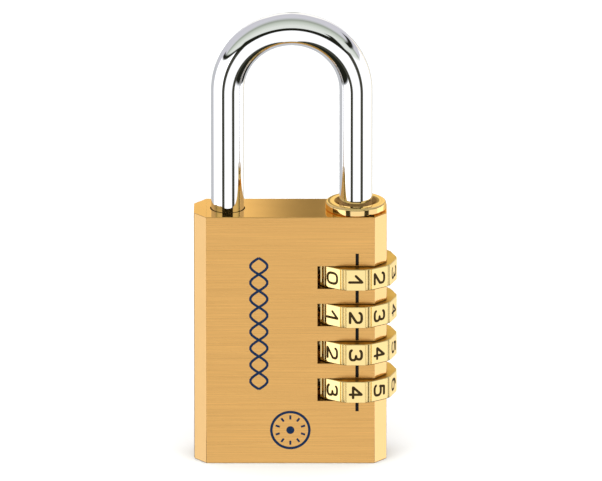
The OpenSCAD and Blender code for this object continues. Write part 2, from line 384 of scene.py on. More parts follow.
def enamel(name, tint, roughness, ripple=0.000004):
    """Paint or ink: slightly uneven, with soft gloss."""
    finish = Finish(name)
    uneven = finish.noise(finish.place, (1500, 1500, 1500), detail=3)
    return finish.done({
        "Base Color": finish.blend(uneven, shade(tint, 0.8), shade(tint, 1.2)),
        "Roughness": uneven * 0.2 + (roughness - 0.1),
        "Specular IOR Level": 0.15,
        "Normal": finish.bump(uneven, ripple),
    })


# --------------------------------------------------------------------------------------------------
# Shapes
# --------------------------------------------------------------------------------------------------


def mesh_of(name, shape):
    """Turns a closed bmesh into a mesh whose faces point outwards."""
    bmesh.ops.recalc_face_normals(shape, faces=shape.faces)
    if shape.calc_volume(signed=True) < 0:
        bmesh.ops.reverse_faces(shape, faces=shape.faces)
    mesh = bpy.data.meshes.new(name)
    shape.to_mesh(mesh)
    shape.free()
    return mesh


def hold(name, mesh):
    """An object at the origin that holds a mesh."""
    held = bpy.data.objects.new(name, mesh)
    bpy.context.collection.objects.link(held)
    return held


def drop(held):
    """Removes a helper object with its mesh."""
    mesh = held.data
    bpy.data.objects.remove(held)
    bpy.data.meshes.remove(mesh)


def evaluated(held):
    """The mesh of an object with its modifiers applied; the modifiers are then removed."""
    depsgraph = bpy.context.evaluated_depsgraph_get()
    mesh = bpy.data.meshes.new_from_object(held.evaluated_get(depsgraph))
    held.modifiers.clear()
    return mesh


def replace_mesh(held, mesh):
    old = held.data
    held.data = mesh
    bpy.data.meshes.remove(old)
    mesh.name = held.name


def volume(held):
    shape = bmesh.new()
    shape.from_mesh(held.data)
    amount = shape.calc_volume(signed=True)
    shape.free()
    return amount


def scale_mesh(held, factor):
    held.data.transform(Matrix.Scale(factor, 4))


def combine(held, other, operation, solver="MANIFOLD"):
    """Cuts a closed shape out of an object or adds it, in millimetres, and makes sure that it changed."""
    scale_mesh(held, MILLIMETRES)
    scale_mesh(other, MILLIMETRES)
    before = volume(held)
    modifier = held.modifiers.new(operation.lower(), "BOOLEAN")
    modifier.operation, modifier.solver, modifier.object = operation, solver, other
    if solver == "EXACT":
        modifier.use_self, modifier.material_mode = True, "TRANSFER"
    replace_mesh(held, evaluated(held))
    gained = volume(held) - before
    if (gained if operation == "UNION" else -gained) < 0.001:
        raise RuntimeError("%s does not change %s as it should" % (other.name, held.name))
    scale_mesh(held, 1 / MILLIMETRES)
    drop(other)


def cut(held, cutter):
    combine(held, cutter, "DIFFERENCE")


def soften(held, width):
    """Bevels the edges of an uncut block that turn by more than 30 degrees."""
    scale_mesh(held, MILLIMETRES)
    modifier = held.modifiers.new("soften", "BEVEL")
    modifier.width, modifier.segments = width * MILLIMETRES, 2
    modifier.limit_method, modifier.angle_limit = "ANGLE", math.radians(30)
    modifier.use_clamp_overlap = False
    before = volume(held)
    replace_mesh(held, evaluated(held))
    if volume(held) >= before:
        raise RuntimeError("the edges of %s were not softened" % held.name)
    scale_mesh(held, 1 / MILLIMETRES)


def smooth(held, angle=math.radians(28)):
    """Smooth shading, with edges sharper than an angle kept sharp."""
    held.data.shade_smooth()
    held.data.set_sharp_from_angle(angle=angle)


def weigh_normals(held):
    """Keeps wide flat faces flat beside their softened edges."""
    modifier = held.modifiers.new("weigh", "WEIGHTED_NORMAL")
    modifier.keep_sharp = True
    replace_mesh(held, evaluated(held))


def add_piece(held, body, replaced):
    """Hands a finished piece to the frame, in place of one of its nodes."""
    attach(held, body)
    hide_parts(replaced)


def box_shape(low, high):
    shape = bmesh.new()
    bmesh.ops.create_cube(shape, size=1)
    low, high = Vector(low), Vector(high)
    for vert in shape.verts:
        vert.co = Vector(a + (b - a) * (t + 0.5) for a, b, t in zip(low, high, vert.co))
    return shape


def cylinder_cutter(name, radius, start, end, steps=96):
    """A cylinder between two points, as a cutter."""
    start, end = Vector(start), Vector(end)
    shape = bmesh.new()
    bmesh.ops.create_cone(
        shape, cap_ends=True, segments=steps, radius1=radius, radius2=radius, depth=(end - start).length
    )
    turn = (end - start).to_track_quat("Z", "Y").to_matrix().to_4x4()
    shape.transform(Matrix.Translation((start + end) / 2) @ turn)
    return hold(name, mesh_of(name, shape))


def rounded_outline(corners, steps=6):
    """Plan outline from corners given as (x, y, rounding), each turned into an arc."""
    outline = []
    for i, (x, y, rounding) in enumerate(corners):
        corner = Vector((x, y))
        before = (Vector(corners[i - 1][:2]) - corner).normalized()
        after = (Vector(corners[(i + 1) % len(corners)][:2]) - corner).normalized()
        half = before.angle(after) / 2
        centre = corner + (before + after).normalized() * rounding / math.sin(half)
        first = corner + before * rounding / math.tan(half) - centre
        last = corner + after * rounding / math.tan(half) - centre
        sweep = first.angle_signed(last)
        for k in range(steps + 1):
            outline.append(centre + Matrix.Rotation(-sweep * k / steps, 2) @ first)
    return outline


def skin(shape, rings, closed_round=True, closed_along=False):
    """Joins rings of points with quads; caps the two ends unless the rings close on themselves."""
    verts = [[shape.verts.new(point) for point in ring] for ring in rings]
    sides = len(rings[0])
    spans = len(rings) if closed_along else len(rings) - 1
    for i in range(spans):
        near, far = verts[i], verts[(i + 1) % len(rings)]
        for k in range(sides if closed_round else sides - 1):
            n = (k + 1) % sides
            shape.faces.new((near[k], near[n], far[n], far[k]))
    if not closed_along:
        shape.faces.new(verts[0])
        shape.faces.new(list(reversed(verts[-1])))


def turned_ring(profile, steps=128):
    """A closed profile of (radius, height) turned about the dial axis."""
    shape = bmesh.new()
    rings = []
    for k in range(steps):
        angle = math.tau * k / steps
        rings.append([AXIS + Vector((r * math.cos(angle), r * math.sin(angle), z)) for r, z in profile])
    skin(shape, rings, closed_along=True)
    return shape


def quarter(centre, radius, start, steps=6):
    """Points of a quarter circle about a centre, from a start angle, counterclockwise."""
    return [
        (
            centre[0] + radius * math.cos(math.radians(start + 90 * k / steps)),
            centre[1] + radius * math.sin(math.radians(start + 90 * k / steps)),
        )
        for k in range(steps + 1)
    ]


# --------------------------------------------------------------------------------------------------
# Geometry Nodes
# --------------------------------------------------------------------------------------------------


class Plan:
    """A Geometry Nodes tree under construction, with named inputs for its sizes."""

    def __init__(self, name, sizes, material):
        self.tree = bpy.data.node_groups.new(name, "GeometryNodeTree")
        self.tree.is_modifier = True
        interface = self.tree.interface
        interface.new_socket("Geometry", in_out="INPUT", socket_type="NodeSocketGeometry")
        for size, value in sizes.items():
            kind = "NodeSocketInt" if isinstance(value, int) else "NodeSocketFloat"
            interface.new_socket(size, in_out="INPUT", socket_type=kind)
        interface.new_socket("Geometry", in_out="OUTPUT", socket_type="NodeSocketGeometry")
        self.sizes, self.material = sizes, material
        self.given = self.node("NodeGroupInput")

    def node(self, kind, settings=None, sockets=None):
        node = self.tree.nodes.new(kind)
        for key, value in (settings or {}).items():
            setattr(node, key, value)
        for key, value in (sockets or {}).items():
            if isinstance(value, bpy.types.NodeSocket):
                self.tree.links.new(value, node.inputs[key])
            else:
                node.inputs[key].default_value = value
        return node

    def grow(self, held, geometry):
        """Ends the tree, runs it on an object and leaves a plain mesh."""
        real = self.node("GeometryNodeRealizeInstances", {}, {"Geometry": geometry})
        merged = self.node("GeometryNodeMergeByDistance", {}, {"Geometry": real.outputs[0], "Distance": 1e-7})
        painted = self.node(
            "GeometryNodeSetMaterial", {}, {"Geometry": merged.outputs[0], "Material": self.material}
        )
        end = self.tree.nodes.new("NodeGroupOutput")
        self.tree.links.new(painted.outputs[0], end.inputs[0])
        modifier = held.modifiers.new(self.tree.name, "NODES")
        modifier.node_group = self.tree
        for item in self.tree.interface.items_tree:
            if item.in_out == "INPUT" and item.name in self.sizes:
                modifier[item.identifier] = self.sizes[item.name]
        replace_mesh(held, evaluated(held))


def repeat_round(held, copies, material):
    """Copies an object's mesh evenly round its Z axis and merges the seams."""
    plan = Plan("repeat round an axis", {"Copies": copies}, material)
    number = plan.given.outputs["Copies"]
    points = plan.node("GeometryNodePoints", {}, {"Count": number})
    index = plan.node("GeometryNodeInputIndex")
    step = plan.node("ShaderNodeMath", {"operation": "DIVIDE"}, {0: math.tau, 1: number})
    angle = plan.node("ShaderNodeMath", {"operation": "MULTIPLY"}, {0: index.outputs[0], 1: step.outputs[0]})
    turn = plan.node("ShaderNodeCombineXYZ", {}, {"Z": angle.outputs[0]})
    copied = plan.node("GeometryNodeInstanceOnPoints", {}, {
        "Points": points.outputs[0], "Instance": plan.given.outputs["Geometry"], "Rotation": turn.outputs[0],
    })
    plan.grow(held, copied.outputs[0])


def coil(name, radius, wire, height, turns, material):
    """A coil spring of round wire that stands on the XY plane, as an object."""
    plan = Plan("coil spring", {
        "Coil radius": radius, "Wire radius": wire, "Height": height, "Turns": turns, "Rise": wire,
    }, material)
    size = plan.given.outputs
    climb = plan.node("ShaderNodeMath", {"operation": "MULTIPLY_ADD"}, {
        0: size["Rise"], 1: -2.0, 2: size["Height"],
    })
    spiral = plan.node("GeometryNodeCurveSpiral", {}, {
        "Resolution": 48, "Rotations": size["Turns"], "Start Radius": size["Coil radius"],
        "End Radius": size["Coil radius"], "Height": climb.outputs[0],
    })
    circle = plan.node("GeometryNodeCurvePrimitiveCircle", {}, {
        "Resolution": 16, "Radius": size["Wire radius"],
    })
    tube = plan.node("GeometryNodeCurveToMesh", {}, {
        "Curve": spiral.outputs[0], "Profile Curve": circle.outputs[0], "Fill Caps": True,
    })
    lift = plan.node("ShaderNodeCombineXYZ", {}, {"Z": size["Rise"]})
    raised = plan.node("GeometryNodeTransform", {}, {
        "Geometry": tube.outputs[0], "Translation": lift.outputs[0],
    })
    held = hold(name, bpy.data.meshes.new(name))
    plan.grow(held, raised.outputs[0])
    return held


# --------------------------------------------------------------------------------------------------
# Engraved digits
# --------------------------------------------------------------------------------------------------


def squared(value, squareness=0.72):
    """Pushes a sine or cosine outwards, which squares a circle."""
    return math.copysign(abs(value) ** squareness, value)


def arc(x, y, rx, ry, start, end, steps=18):
    """Points of a squarish arc in a digit's unit square; degrees, counterclockwise from the right."""
    angles = [math.radians(start + (end - start) * k / steps) for k in range(steps + 1)]
    return [(x + rx * squared(math.cos(angle)), y + ry * squared(math.sin(angle))) for angle in angles]


def oval(x, y, rx, ry):
    """A closed loop: its last point repeats its first."""
    return arc(x, y, rx, ry, 90, 450, steps=28)


SIX = [oval(0.5, 0.31, 0.46, 0.31), arc(0.9, 0.31, 0.86, 0.69, 180, 108)]

# Strokes of each digit in a unit square, X to the digit's right and Y to its top
STROKES = [
    [oval(0.5, 0.5, 0.48, 0.5)],
    [[(0.12, 0.5), (0.69, 1.05), (0.69, -0.06)]],
    [arc(0.5, 0.71, 0.45, 0.29, 165, -32) + [(0.03, 0.0), (0.97, 0.0)]],
    [arc(0.48, 0.755, 0.4, 0.245, 155, -85) + arc(0.5, 0.26, 0.46, 0.26, 80, -160)],
    [[(1.0, 0.27), (0.02, 0.27), (0.7, 1.0), (0.7, 0.0)]],
    [[(0.9, 1.0), (0.2, 1.0), (0.12, 0.56)] + arc(0.47, 0.33, 0.47, 0.33, 132, -155)],
    SIX,
    [[(0.02, 1.0), (0.98, 1.0), (0.36, 0.0)]],
    [oval(0.5, 0.76, 0.37, 0.24), oval(0.5, 0.26, 0.46, 0.26)],
    [[(1 - x, 1 - y) for x, y in stroke] for stroke in SIX],
]


def ease_corners(points, gap=0.00003):
    """Adds a point just before and just after each sharp corner, so that a stroke keeps its width."""
    eased = [points[0]]
    for before, point, after in zip(points, points[1:], points[2:]):
        inwards, onwards = (point - before).normalized(), (after - point).normalized()
        if inwards.angle(onwards) > math.radians(25):
            eased += [point - inwards * gap, point, point + onwards * gap]
        else:
            eased.append(point)
    return eased + [points[-1]]


def engraving_tool(shape, stroke, radius, steps=12):
    """Sweeps a ball cutter along a stroke that lies in a plane with normal -Y."""
    points = [p for i, p in enumerate(stroke) if i == 0 or (p - stroke[i - 1]).length > 1e-6]
    points = ease_corners(points)
    closed = (points[0] - points[-1]).length < 1e-6
    if closed:
        points.pop()
    last = len(points) - 1
    normal = Vector((0, -1, 0))
    rings = []
    for i, point in enumerate(points):
        ahead = points[(i + 1) % len(points)] if closed or i < last else point
        behind = points[i - 1] if closed or i > 0 else point
        side = (ahead - behind).normalized().cross(normal)
        rings.append([
            point + radius * (side * math.cos(math.tau * k / steps) + normal * math.sin(math.tau * k / steps))
            for k in range(steps)
        ])
    if not closed:
        for end, inner in ((0, 1), (last, last - 1)):
            outward = (points[end] - points[inner]).normalized()
            cap = []
            for angle in (30, 60, 80):
                lean = math.radians(angle)
                cap.append([
                    points[end] + (p - points[end]) * math.cos(lean) + outward * radius * math.sin(lean)
                    for p in (rings[0] if end == 0 else rings[-1])
                ])
            if end == 0:
                first_caps = list(reversed(cap))
            else:
                last_caps = cap
        rings = first_caps + rings + last_caps
    skin(shape, rings, closed_along=closed)


def digit_strokes(digit, settings, apothem, z):
    """Strokes of a digit on the facet that faces -Y: its top points along +X and its right along -Z."""
    stand_off = (settings.stroke_width ** 2 / 4 - settings.stroke_depth ** 2) / (2 * settings.stroke_depth)
    for stroke in STROKES[digit]:
        yield [
            Vector((
                (y - 0.5) * settings.digit_height,
                -apothem - stand_off,
                z - (x - 0.5) * settings.digit_width,
            ))
            for x, y in stroke
        ]


# --------------------------------------------------------------------------------------------------
# Pieces
# --------------------------------------------------------------------------------------------------


class PADLOCK_OT_body(bpy.types.Operator):
    """Builds the brass body with its slots, bores and soft edges"""

    bl_idname = "padlock.body"
    bl_label = "Brass body"

    def execute(self, context):
        settings = context.scene.padlock_body
        held = hold("brass_body", self.blank(settings))
        soften(held, settings.edge_softness)
        self.machine(held, settings, context.scene.padlock_shackle.rod_radius)
        self.engrave_index(held)
        self.paint(held, settings)
        smooth(held, math.radians(50))
        weigh_normals(held)
        add_piece(held, "lock_body", "body")
        return {"FINISHED"}

    def blank(self, settings):
        """The extruded block with rounded chamfers."""
        x, y = BODY_HIGH.x, BODY_HIGH.y
        near_x, near_y = x - settings.chamfer_width, y - settings.chamfer_depth
        side, face = settings.side_rounding, settings.face_rounding
        corners = [
            (-x, near_y, side), (-x, -near_y, side), (-near_x, -y, face), (near_x, -y, face),
            (x, -near_y, side), (x, near_y, side), (near_x, y, face), (-near_x, y, face),
        ]
        outline = rounded_outline(corners)
        centres = [middle(name).z for name in DIALS]
        between = [(upper + lower) / 2 for upper, lower in zip(centres, centres[1:])]
        end = (centres[0] - centres[1]) / 2
        heights = [BODY_HIGH.z, centres[0] + end, *between, centres[-1] - end, BODY_LOW.z]
        shape = bmesh.new()
        skin(shape, [[(p.x, p.y, z) for p in outline] for z in reversed(heights)])
        return mesh_of("brass_body", shape)

    def machine(self, held, settings, rod_radius):
        """Cuts the slots, the long bore, the toe hole and the detent holes."""
        over = 0.001
        for name in DIALS:
            z = middle(name).z
            half = settings.slot_height / 2
            cut(held, cylinder_cutter("slot", settings.slot_radius, AXIS + Vector((0, 0, z - half)),
                                      AXIS + Vector((0, 0, z + half)), steps=160))
        bottom, top = BODY_LOW.z - over, BODY_HIGH.z + over
        cut(held, cylinder_cutter("bore", settings.bore_radius, (AXIS_X, 0, bottom), (AXIS_X, 0, top)))
        toe_x = SHACKLE_LOW.x + rod_radius
        cut(held, cylinder_cutter("toe hole", settings.toe_hole_radius,
                                  (toe_x, 0, BODY_HIGH.z - settings.toe_hole_depth), (toe_x, 0, top)))
        low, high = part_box("detent_springs")
        ball_low, ball_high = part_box("detent_balls")
        radius = (ball_high.y - ball_low.y) / 2 + over / 10
        for name in DIALS:
            z = middle(name).z
            cut(held, cylinder_cutter("detent hole", radius, (low.x, 0, z), (ball_high.x, 0, z), steps=32))
        pin_low, pin_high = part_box("plug_pin")
        z = (pin_low.z + pin_high.z) / 2
        radius = (pin_high.z - pin_low.z) / 2
        cut(held, cylinder_cutter("pin hole", radius, (AXIS_X, 0, z), (BODY_HIGH.x + over, 0, z), steps=32))

    def engrave_index(self, held):
        """Cuts the grooves that hold the index line."""
        over = 0.001
        shape = box_shape((MARK_LOW.x, MARK_LOW.y - over, MARK_LOW.z), MARK_HIGH)
        cut(held, hold("index groove", mesh_of("index groove", shape)))

    def paint(self, held, settings):
        """Brushed front and back, polished chamfers, sides and ends; the top face in a warmer tint, which is
        painted light; darker brass in the hollows, which is painted shade.
        """
        finishes = [
            brushed_brass("brushed brass", settings.brushed),
            polished_brass("polished brass", settings.polished, 0.16),
            # Darker brass for the hollows: painted shade.
            machined_brass("machined brass", settings.shaded_machined),
            # Its own tint and rim colour for the top face: painted light.
            polished_brass("polished top", settings.top, 0.085, rim=(1.0, 0.85, 0.6)),
        ]
        held.data.materials.clear()
        for finish in finishes:
            held.data.materials.append(finish)
        near = 0.0002
        for face in held.data.polygons:
            centre, normal = face.center, face.normal
            outside_y = abs(centre.y) > BODY_HIGH.y - near
            outside_z = min(BODY_HIGH.z - centre.z, centre.z - BODY_LOW.z) < near
            corner = abs(centre.x) > BODY_HIGH.x - settings.chamfer_width - near
            outwards = normal.x * centre.x > 0 and abs(normal.z) < 0.9
            if outside_y and abs(normal.y) > 0.9:
                face.material_index = 0
            elif outside_z and normal.z > 0.9:
                # The top face: its warmer tint is painted light.
                face.material_index = 3
            elif outside_z or outside_y or (corner and outwards and self.on_outline(centre, settings)):
                face.material_index = 1
            else:
                # Faces in the slots, bore and holes: the darker brass there is painted shade.
                face.material_index = 2

    def on_outline(self, point, settings):
        """True for a point on the chamfers or sides of the block."""
        near = 0.0004
        x, y = BODY_HIGH.x - abs(point.x), BODY_HIGH.y - abs(point.y)
        chamfer = 1 - x / settings.chamfer_width - y / settings.chamfer_depth
        return x < near or abs(chamfer) * settings.chamfer_width < near


class PADLOCK_OT_index_line(bpy.types.Operator):
    """Fills the index grooves with black paint"""

    bl_idname = "padlock.index_line"
    bl_label = "Index line"

    def execute(self, context):
        settings = context.scene.padlock_body
        sink, end_gap, edge = 0.00001, 0.00012, 0.00004
        edges = [MARK_HIGH.z]
        for name in DIALS:
            z = middle(name).z
            edges += [z + settings.slot_height / 2 + end_gap, z - settings.slot_height / 2 - end_gap]
        edges.append(MARK_LOW.z)
        shape = bmesh.new()
        for top, bottom in zip(edges[0::2], edges[1::2]):
            bar = box_shape((MARK_LOW.x, MARK_LOW.y + sink, bottom), (MARK_HIGH.x, MARK_HIGH.y, top))
            mesh = bpy.data.meshes.new("bar")
            bar.to_mesh(mesh)
            bar.free()
            shape.from_mesh(mesh)
            bpy.data.meshes.remove(mesh)
        held = hold("index_line", mesh_of("index_line", shape))
        soften(held, edge)
        held.data.materials.append(enamel("index paint", context.scene.padlock_print.paint, 0.4))
        smooth(held)
        add_piece(held, "lock_body", "index_marks")
        return {"FINISHED"}


class PADLOCK_OT_dials(bpy.types.Operator):
    """Builds the four dials: fluted rings with ten engraved digits each"""

    bl_idname = "padlock.dials"
    bl_label = "Number dials"

    def execute(self, context):
        settings = context.scene.padlock_dials
        brass = polished_brass("dial brass", settings.brass, 0.11, grain=(2400, 2400, 200))
        paint = enamel("digit paint", settings.paint, 0.5)
        # The upper and lower faces get a darker brass: painted shade.
        faces = machined_brass("dial faces", settings.faces)
        for number, name in enumerate(DIALS, start=1):
            low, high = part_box(name)
            apothem = -low.y
            radius = high.x - AXIS_X
            held = hold("number_" + name, self.sector(settings, apothem, radius, low.z, high.z))
            repeat_round(held, DIGITS, brass)
            held.data.materials.append(paint)
            tool = self.engraving(settings, apothem, middle(name).z, number, paint)
            combine(held, tool, "DIFFERENCE", "EXACT")
            held.data.transform(Matrix.Translation(AXIS))
            held.data.materials.append(faces)
            # Faces that look up or down take the darker brass, which is painted shade.
            for face in held.data.polygons:
                if abs(face.normal.z) > 0.9:
                    face.material_index = len(held.data.materials) - 1
            smooth(held, math.radians(24))
            weigh_normals(held)
            add_piece(held, name, name)
        return {"FINISHED"}

    def sector(self, settings, apothem, radius, bottom, top):
        """One digit's sector of the ring, facing -Y, open at its two seams."""
        half_turn = math.pi / DIGITS
        flat_end = math.acos(apothem / radius)
        groove, depth = settings.groove_width / radius, settings.groove_depth
        rib_start, rib_end, steps = flat_end + groove, half_turn - groove / 4, 6
        right = [(flat_end, radius), (flat_end + groove / 2, radius - depth * 1.2)]
        for k in range(steps + 1):
            across = k / steps
            right.append((rib_start + (rib_end - rib_start) * across, radius - depth * (2 * across - 1) ** 2))
        right.append((half_turn, radius - depth * 1.2))
        outline = [Vector((r * math.sin(angle), -r * math.cos(angle))) for angle, r in right]
        outline = [Vector((-p.x, p.y)) for p in reversed(outline)] + outline
        rounding, steps = settings.edge_rounding, 4
        rings = []
        for k in range(steps + 1):
            lean = math.pi / 2 * k / steps
            inset, rise = rounding * (1 - math.sin(lean)), rounding * (1 - math.cos(lean))
            rings.append((1 - inset / apothem, bottom + rise))
        rings += [(scale, top + bottom - z) for scale, z in reversed(rings)]
        shape = bmesh.new()
        loops = [[(p.x * scale, p.y * scale, z) for p in outline] for scale, z in rings]
        bore = [p.normalized() * settings.bore_radius for p in outline]
        loops += [[(p.x, p.y, z) for p in bore] for z in (top, bottom)]
        skin(shape, loops, closed_round=False, closed_along=True)
        mesh = bpy.data.meshes.new("sector")
        shape.to_mesh(mesh)
        shape.free()
        return mesh

    def engraving(self, settings, apothem, z, number, paint):
        """The ten digits of a dial as cutters; the dial's own number faces -Y."""
        width, depth = settings.stroke_width, settings.stroke_depth
        radius = (width ** 2 / 4 + depth ** 2) / (2 * depth)
        shape = bmesh.new()
        for digit in range(DIGITS):
            tool = bmesh.new()
            for stroke in digit_strokes(digit, settings, apothem, z):
                engraving_tool(tool, stroke, radius)
            tool.transform(Matrix.Rotation(math.tau * (digit - number) / DIGITS, 4, "Z"))
            mesh = mesh_of("digit", tool)
            shape.from_mesh(mesh)
            bpy.data.meshes.remove(mesh)
        cutter = hold("engraving", mesh_of("engraving", shape))
        cutter.data.materials.append(paint)
        return cutter


class PADLOCK_OT_shackle(bpy.types.Operator):
    """Builds the bent rod with its rounded toe, and the finned stem below the long leg"""

    bl_idname = "padlock.shackle"
    bl_label = "Shackle"

    def execute(self, context):
        settings = context.scene.padlock_shackle
        shape = bmesh.new()
        skin(shape, list(self.rings(settings)))
        held = hold("chrome_shackle", mesh_of("chrome_shackle", shape))
        for number in range(1, len(DIALS) + 1):
            combine(held, self.fin(settings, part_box("code_sleeve_%d" % number)[1].z), "UNION")
        held.data.materials.clear()
        held.data.materials.append(chrome_plate("chrome plate", settings.chrome))
        smooth(held)
        add_piece(held, "shackle", "shackle")
        return {"FINISHED"}

    def rings(self, settings):
        """Rings from the toe's tip, over the bow, and down to the end of the stem."""
        rod, rounding = settings.rod_radius, settings.toe_rounding
        toe_x = SHACKLE_LOW.x + rod
        bow_radius = (AXIS_X - toe_x) / 2
        bow = Vector(((AXIS_X + toe_x) / 2, 0, SHACKLE_HIGH.z - rod - bow_radius))
        tip = BODY_HIGH.z - settings.toe_depth

        def ring(centre, across, radius):
            return [
                centre + radius * (across * math.cos(math.tau * k / settings.sides)
                                   + Vector((0, math.sin(math.tau * k / settings.sides), 0)))
                for k in range(settings.sides)
            ]

        steps = 6
        for k in range(steps + 1):
            lean = math.pi / 2 * k / steps
            inset, rise = rounding * (1 - math.sin(lean)), rounding * (1 - math.cos(lean))
            yield ring(Vector((toe_x, 0, tip + rise)), Vector((-1, 0, 0)), rod - inset)
        for rise in (1.2, 1.6):
            yield ring(Vector((toe_x, 0, tip + rise * rounding)), Vector((-1, 0, 0)), rod)
        for k in range(settings.bow_steps + 1):
            angle = math.pi * (1 - k / settings.bow_steps)
            across = Vector((math.cos(angle), 0, math.sin(angle)))
            yield ring(bow + across * bow_radius, across, rod)
        shoulder_gap = 0.00025
        rod_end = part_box("code_sleeve_1")[1].z + shoulder_gap
        clip_low, clip_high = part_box("stem_clip")
        gap = 0.00005
        for radius, z in (
            (rod, rod_end), (settings.stem_radius, rod_end),
            (settings.stem_radius, clip_high.z + gap), (settings.groove_radius, clip_high.z + gap),
            (settings.groove_radius, clip_low.z - gap), (settings.stem_radius, clip_low.z - gap),
            (settings.stem_radius, SHACKLE_LOW.z),
        ):
            yield ring(Vector((AXIS_X, 0, z)), Vector((1, 0, 0)), radius)

    def fin(self, settings, sleeve_top):
        """One locking fin, which points away from the bow's far side."""
        top = sleeve_top - settings.fin_drop
        low = (AXIS_X - settings.fin_reach, -settings.fin_size / 2, top - settings.fin_size)
        high = (AXIS_X, settings.fin_size / 2, top)
        return hold("fin", mesh_of("fin", box_shape(low, high)))


class PADLOCK_OT_collar(bpy.types.Operator):
    """Builds the polished collar round the long leg"""

    bl_idname = "padlock.collar"
    bl_label = "Shackle collar"

    def execute(self, context):
        settings = context.scene.padlock_collar
        flange, rounding = COLLAR_HIGH.x - AXIS_X, settings.rounding
        top, face, foot = COLLAR_HIGH.z, BODY_HIGH.z, COLLAR_LOW.z
        lip = 0.00015
        profile = [(settings.spigot_radius, foot), (settings.spigot_radius, face), (flange - lip, face)]
        profile += [(flange, face + lip)]
        profile += quarter((flange - rounding, top - rounding), rounding, 0)
        profile += [(settings.mouth_radius + lip, top), (settings.mouth_radius, top - lip / 3)]
        profile += [(settings.bore_radius, top - settings.mouth_depth), (settings.bore_radius, foot)]
        held = hold("polished_collar", mesh_of("polished_collar", turned_ring(profile)))
        brass = polished_brass("collar brass", settings.brass, 0.09, (200, 200, 3000), (1.0, 0.8, 0.45))
        held.data.materials.append(brass)
        held.data.materials.append(machined_brass("collar mouth", settings.mouth))
        # Faces that look inwards take the dark brass, which is painted shade in the mouth and bore.
        for face in held.data.polygons:
            outwards = Vector((face.center.x - AXIS_X, face.center.y, 0))
            if face.normal.dot(outwards) < 0:
                face.material_index = 1
        smooth(held)
        add_piece(held, "lock_body", "shackle_collar")
        return {"FINISHED"}


class PADLOCK_OT_springs(bpy.types.Operator):
    """Winds the clutch spring and the four detent springs"""

    bl_idname = "padlock.springs"
    bl_label = "Springs"

    def execute(self, context):
        settings = context.scene.padlock_springs
        steel = drawn_steel("spring wire", context.scene.padlock_shackle.steel)
        low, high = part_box("clutch_spring")
        held = coil("clutch_coil", settings.clutch_coil, settings.clutch_wire, high.z - low.z,
                    settings.clutch_turns, steel)
        held.data.transform(Matrix.Translation((AXIS_X, 0, low.z)))
        smooth(held, math.radians(50))
        add_piece(held, "lock_body", "clutch_spring")

        low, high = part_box("detent_springs")
        shape = bmesh.new()
        for name in DIALS:
            one = coil("coil", settings.detent_coil, settings.detent_wire, high.x - low.x,
                       settings.detent_turns, steel)
            place = Matrix.Translation((low.x, 0, middle(name).z)) @ Matrix.Rotation(math.pi / 2, 4, "Y")
            one.data.transform(place)
            shape.from_mesh(one.data)
            drop(one)
        held = hold("detent_coils", mesh_of("detent_coils", shape))
        held.data.materials.append(steel)
        smooth(held, math.radians(50))
        add_piece(held, "lock_body", "detent_springs")
        return {"FINISHED"}


class PADLOCK_OT_fittings(bpy.types.Operator):
    """Gives the frame's own small parts their finishes"""

    bl_idname = "padlock.fittings"
    bl_label = "Fittings and print"

    def execute(self, context):
        scene = context.scene
        # The turned fittings reuse the body's darker hollow brass, whose darkness is painted shade.
        turned = machined_brass("turned brass", scene.padlock_body.shaded_machined)
        steel = drawn_steel("stamped steel", scene.padlock_shackle.steel)
        ground = drawn_steel("ground steel", scene.padlock_shackle.steel)
        ink = enamel("printed ink", scene.padlock_print.ink, 0.45)
        finishes = {
            turned: ["bottom_plug", "spacer_sleeve", "code_sleeve_1", "code_sleeve_2", "code_sleeve_3",
                     "code_sleeve_4"],
            steel: ["stem_clip", "thrust_washer", "lift_stop_washer"],
            ground: ["plug_pin", "detent_balls"],
            ink: ["front_print"],
        }
        for finish, nodes in finishes.items():
            for node in nodes:
                for place in frame["nodes"][node].material_slots:
                    place.material = finish
        return {"FINISHED"}


# Ceiling of the studio: part of the way from the front horizon over the top to the back horizon, and colour
CEILING = (
    (0.0, (0.8, 0.83, 0.78)), (0.22, (0.77, 0.8, 0.74)), (0.37, (0.55, 0.6, 0.52)),
    (0.455, (0.33, 0.36, 0.3)), (0.51, (0.52, 0.54, 0.53)), (0.58, (0.65, 0.64, 0.68)),
    (1.0, (0.62, 0.61, 0.66)),
)
WHITE = (1.3, 1.3, 1.3)
BRIGHT = (1.65, 1.65, 1.65)
WARM = (1.15, 1.12, 1.05)
GREY = (0.56, 0.57, 0.59)
BLACK = (0.014, 0.015, 0.01)
DARK = (0.055, 0.055, 0.042)
# Cards round the lock: azimuth from and to, elevation from and to, softness (degrees), colour; the front is 0
CARDS = (
    (-181, 181, -100, 0, 3, GREY),
    (160, 181, 4, 36, 4, WARM),
    (-181, -160, 4, 36, 4, WARM),
    (-112, -88, -27, 12, 3, WHITE),
    (-88, -20, -27, 12, 3, BRIGHT),
    (30, 88, -27, 12, 3, (1.15, 1.15, 1.15)),
    (88, 131, -27, 12, 3, BRIGHT),
    (137, 153, -27, 12, 2, (1.1, 1.02, 0.85)),
    (-112, -20, -100, -28, 2, BLACK),
    (30, 130, -100, -28, 2, BLACK),
    (-110, -25, 12, 17, 1.5, BLACK),
    (70, 130, 24, 32, 2, BLACK),
    (-30, 41, -82, 9, 1, (1.1, 1.1, 1.1)),
    (-39, -21, -80, 14, 1, DARK),
    (32, 50, -80, 14, 1, DARK),
    (-38, 36, 5, 22, 1, BLACK),
    (28, 38, 9, 30, 2, BLACK),
)


